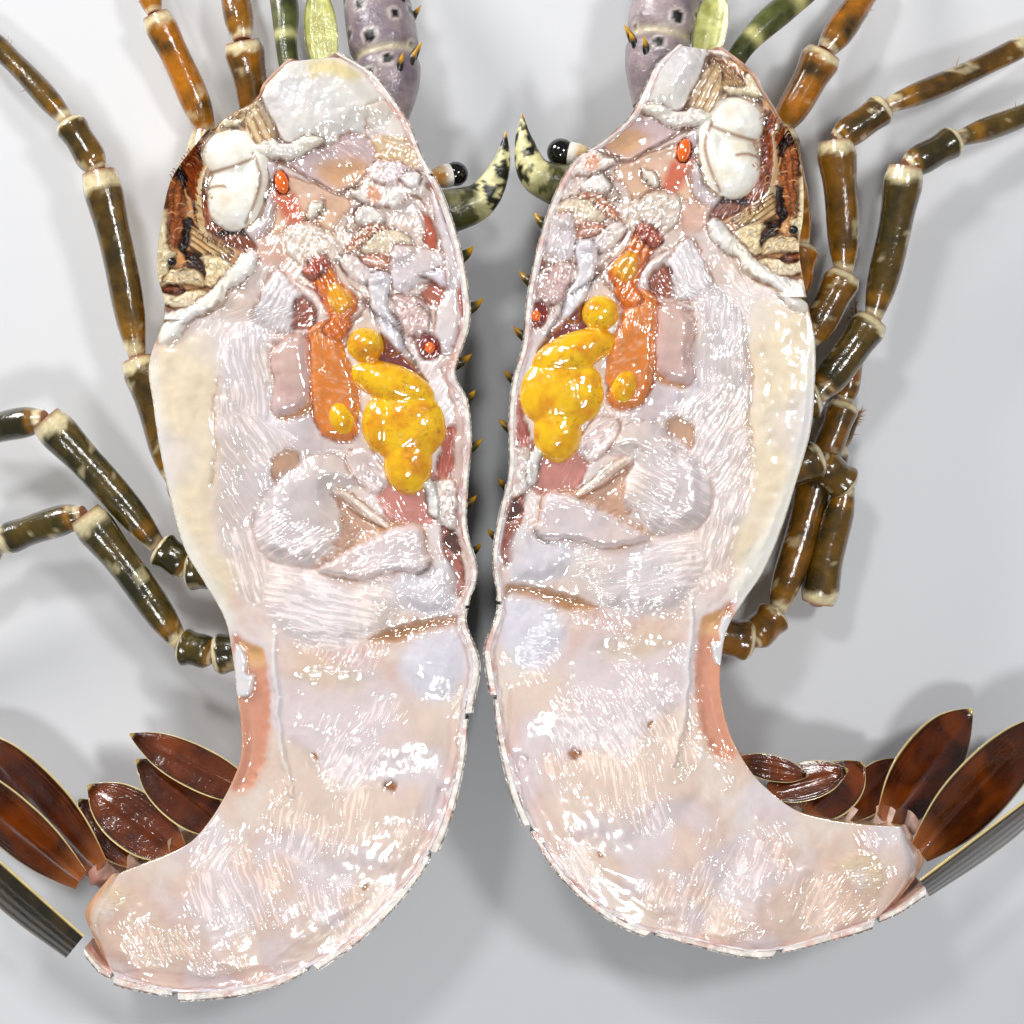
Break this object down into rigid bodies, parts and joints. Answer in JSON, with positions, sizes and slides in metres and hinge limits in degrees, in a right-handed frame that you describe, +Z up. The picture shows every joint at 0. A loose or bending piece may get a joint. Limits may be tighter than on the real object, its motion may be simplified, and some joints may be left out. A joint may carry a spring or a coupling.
{
  "type": "halved spiny lobster",
  "caption": "Life-size still model of a spiny lobster split lengthwise, both halves lying on their shells with the cut faces up.",
  "frame": {"origin": "centre of the pair's box, on the floor under the two shells", "axes": "+Z up, +Y from the tails to the heads, +X from the animal's left half to its right half"},
  "size_m": [0.4249, 0.3476, 0.041],
  "materials": {
    "shell": "wet olive-brown shell with pale spots and spines, white where it is cut",
    "flesh": "wet raw flesh, milky white with a pink cast",
    "roe": "wet orange-yellow roe",
    "jaw": "smooth ivory white",
    "breastplate": "glossy cream",
    "mouthparts": "tan and cream plates with rows of dark brown bristles",
    "leg": "glossy olive with cream bands at the joints",
    "tail_fan": "glossy dark red-brown with a pale rim",
    "feeler_base": "grey-purple with round black spots and spines",
    "feeler": "dark green with pale bands",
    "eye": "mirror-smooth black"
  },
  "bodies": {
    "root": {"left_carapace": "shell", "left_head_plate": "shell", "left_mouthparts": "mouthparts", "left_breastplate": "breastplate", "left_body_flesh": "flesh", "left_tail_flesh": "flesh", "left_roe": "roe", "left_jaw": "jaw", "left_telson": "tail_fan", "left_uropod_inner": "tail_fan", "left_uropod_outer": "tail_fan", "left_antenna_base": "feeler_base", "left_antenna_whip": "feeler", "left_antennule": "feeler", "left_eye": "eye", "left_tail_ring_1": "shell", "left_tail_ring_2": "shell", "left_tail_ring_3": "shell", "left_tail_ring_4": "shell", "left_tail_ring_5": "shell", "left_tail_ring_6": "shell", "left_swimmeret_1": "tail_fan", "left_swimmeret_2": "tail_fan", "left_swimmeret_3": "tail_fan", "left_swimmeret_4": "tail_fan", "left_leg_1": "leg", "left_leg_2": "leg", "left_leg_3": "leg", "left_leg_4": "leg", "left_leg_5": "leg", "right_carapace": "shell", "right_head_plate": "shell", "right_mouthparts": "mouthparts", "right_breastplate": "breastplate", "right_body_flesh": "flesh", "right_tail_flesh": "flesh", "right_roe": "roe", "right_jaw": "jaw", "right_telson": "tail_fan", "right_uropod_inner": "tail_fan", "right_uropod_outer": "tail_fan", "right_antenna_base": "feeler_base", "right_antenna_whip": "feeler", "right_antennule": "feeler", "right_eye": "eye", "right_tail_ring_1": "shell", "right_tail_ring_2": "shell", "right_tail_ring_3": "shell", "right_tail_ring_4": "shell", "right_tail_ring_5": "shell", "right_tail_ring_6": "shell", "right_swimmeret_1": "tail_fan", "right_swimmeret_2": "tail_fan", "right_swimmeret_3": "tail_fan", "right_swimmeret_4": "tail_fan", "right_leg_1": "leg", "right_leg_2": "leg", "right_leg_3": "leg", "right_leg_4": "leg", "right_leg_5": "leg"}
  },
  "joints": []
}
